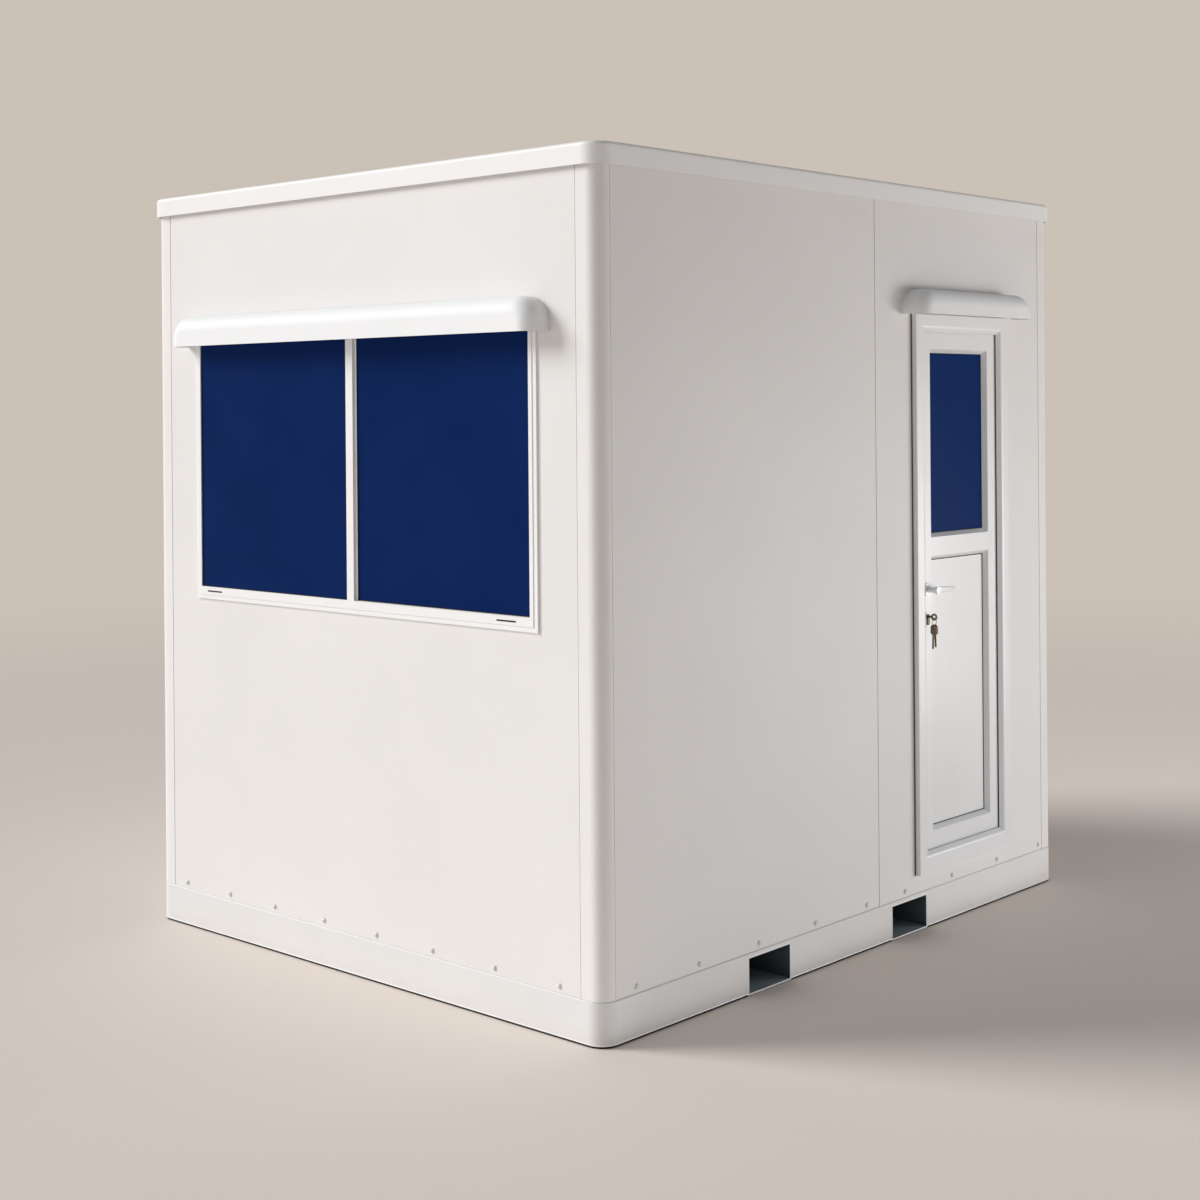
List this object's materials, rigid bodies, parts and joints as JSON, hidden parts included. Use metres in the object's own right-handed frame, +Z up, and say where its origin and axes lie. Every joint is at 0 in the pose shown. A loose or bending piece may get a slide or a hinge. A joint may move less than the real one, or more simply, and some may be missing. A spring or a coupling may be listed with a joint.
{
  "type": "modular guard cabin",
  "caption": "Prefabricated one-room guard cabin with fork pockets in its base, a wide window, and a narrow door with a lever handle, each under a moulded rain canopy.",
  "frame": {"origin": "on the ground at the centre of the wall footprint, under the middle joist", "axes": "+Z up, +X out of the door wall, -Y out of the window wall"},
  "size_m": [2.207, 2.599, 2.52],
  "materials": {
    "base_paint": "satin powder coat",
    "pocket_steel": "galvanised steel",
    "joist_steel": "dark primer",
    "deck_board": "sealed plywood",
    "wall_panel": "white coil coating on sandwich panel",
    "post_paint": "white coil coating, folded",
    "roof_paint": "white coil coating",
    "window_profile": "white window profile",
    "window_pane": "blue film on glass",
    "canopy_moulding": "white moulded plastic",
    "door_profile": "white plastic profile",
    "door_infill": "white plastic sandwich infill",
    "door_pane": "blue film on glass",
    "hinge_metal": "white coated steel",
    "handle_coat": "white coated zinc alloy",
    "lock_nickel": "nickel plate",
    "key_bronze": "dark worn brass"
  },
  "bodies": {
    "cabin": {"base_front_rail": "base_paint", "base_back_rail": "base_paint", "base_door_rail": "base_paint", "base_left_rail": "base_paint", "fork_pocket_front": "pocket_steel", "fork_pocket_rear": "pocket_steel", "base_joists": "joist_steel", "floor_deck": "deck_board", "corner_post_front": "post_paint", "corner_post_door": "post_paint", "corner_post_window": "post_paint", "corner_post_back": "post_paint", "front_wall_lower": "wall_panel", "front_wall_left": "wall_panel", "front_wall_right": "wall_panel", "front_wall_upper": "wall_panel", "door_wall_front": "wall_panel", "door_wall_latch_side": "wall_panel", "door_wall_hinge_side": "wall_panel", "door_wall_over": "wall_panel", "door_wall_under": "wall_panel", "back_wall": "wall_panel", "left_wall": "wall_panel", "roof_panel": "wall_panel", "roof_cap": "roof_paint", "window_frame": "window_profile", "window_sash_left": "window_profile", "window_sash_right": "window_profile", "window_glass_left": "window_pane", "window_glass_right": "window_pane", "window_canopy": "canopy_moulding", "door_canopy": "canopy_moulding", "door_jamb_latch": "door_profile", "door_jamb_hinge": "door_profile", "door_head": "door_profile", "door_threshold": "door_profile", "hinges_frame": "hinge_metal"},
    "door": {"door_leaf": "door_profile", "door_glass": "door_pane", "door_panel": "door_infill", "hinges_leaf": "hinge_metal", "handle_roses": "handle_coat", "door_lock": "lock_nickel", "keys": "key_bronze"},
    "door_handle": {"lever_handle": "handle_coat"}
  },
  "joints": [
    {"name": "door_swing", "type": "hinge", "parent": "cabin", "child": "door", "pos_m": [0.988, 0.898, 1.145], "axis": [0, 0, -1], "range_deg": [0, 100]},
    {"name": "handle_turn", "type": "hinge", "parent": "door", "child": "door_handle", "pos_m": [1.015, 0.402, 1.149], "axis": [-1, 0, 0], "range_deg": [0, 40], "stiffness_Nm_per_rad": 0.8, "springref_deg": -28.65}
  ]
}
